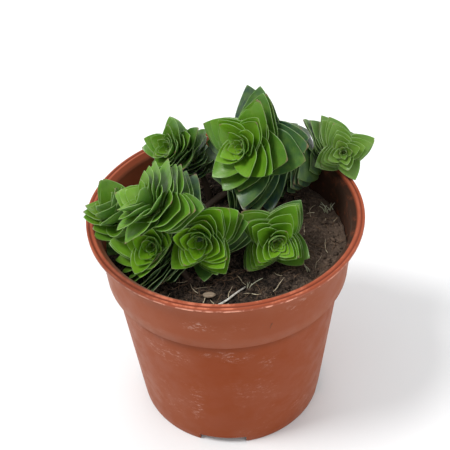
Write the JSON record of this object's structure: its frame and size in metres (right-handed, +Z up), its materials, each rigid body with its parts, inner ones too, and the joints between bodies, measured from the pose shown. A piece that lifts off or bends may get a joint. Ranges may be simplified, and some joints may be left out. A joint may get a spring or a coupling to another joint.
{
  "type": "potted crassula",
  "caption": "Leafy succulent with upright stems of stacked pointed leaves in crossed pairs, growing from soil in a tapered plastic nursery pot.",
  "frame": {"origin": "under the middle of the part's box, on the surface that the pot stands on", "axes": "+Z up along the pot's axis, -Y towards the front of the pot, +X to the right"},
  "size_m": [0.1132, 0.105, 0.13],
  "materials": {
    "pot": "satin",
    "soil": "matte",
    "leaf": "satin",
    "litter": "matte"
  },
  "bodies": {
    "root": {"pot": "pot", "soil": "soil", "shoot_centre": "leaf", "shoot_front": "leaf", "shoot_middle": "leaf", "shoot_right": "leaf", "shoot_left": "leaf", "shoot_low_left": "leaf", "shoot_far_left": "leaf", "shoot_back": "leaf", "straw": "litter", "chip": "litter"}
  },
  "joints": []
}
